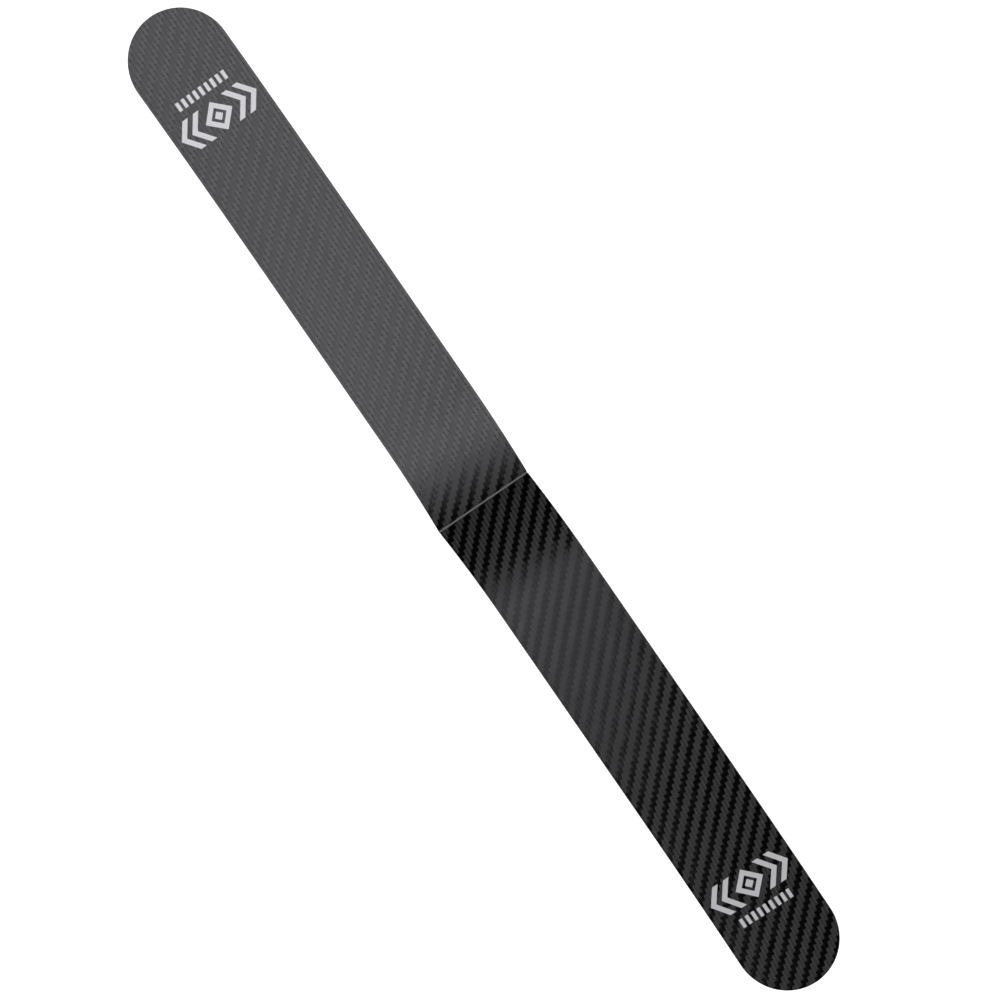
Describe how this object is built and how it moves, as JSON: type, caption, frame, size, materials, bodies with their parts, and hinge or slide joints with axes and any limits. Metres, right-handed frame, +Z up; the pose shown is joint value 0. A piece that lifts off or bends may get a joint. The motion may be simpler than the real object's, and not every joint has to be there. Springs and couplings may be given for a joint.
{
  "type": "racket rim guard strip",
  "caption": "Long round-ended stick-on guard strip for a racket rim: twill-embossed film on a soft core, adhesive and split release liner, creased across the middle.",
  "frame": {"origin": "on the table under the centre fold, in the middle of the strip's length and width", "axes": "+X along the strip towards the right half's tip, +Y across it, +Z up out of the face film"},
  "size_m": [0.3886, 0.036, 0.0066],
  "materials": {
    "face_film": "embossed carbon-look twill, satin",
    "fold_line": "stretched and whitened film",
    "core": "soft, die-cut edge",
    "adhesive": "clear acrylic adhesive",
    "release_liner": "silicone-coated paper",
    "print": "silver screen-printing ink"
  },
  "bodies": {
    "half_left": {"face_film_left": "face_film", "core_left": "core", "adhesive_left": "adhesive", "fold_line": "fold_line", "print_emblem_left": "print", "print_bars_left": "print"},
    "half_right": {"face_film_right": "face_film", "core_right": "core", "adhesive_right": "adhesive", "print_emblem_right": "print", "print_bars_right": "print"},
    "liner_left": {"release_liner_left": "release_liner"},
    "liner_right": {"release_liner_right": "release_liner"}
  },
  "joints": [
    {"name": "centre_fold", "type": "hinge", "parent": "half_left", "child": "half_right", "pos_m": [0, 0, 0.00641], "axis": [0, -1, 0], "range_deg": [-60, 66.8]},
    {"name": "liner_peel_left", "type": "slide", "parent": "half_left", "child": "liner_left", "axis": [-0.5736, 0, -0.8192], "range_m": [0, 0.03]},
    {"name": "liner_peel_right", "type": "slide", "parent": "half_right", "child": "liner_right", "axis": [0.5736, 0, -0.8192], "range_m": [0, 0.03]}
  ]
}
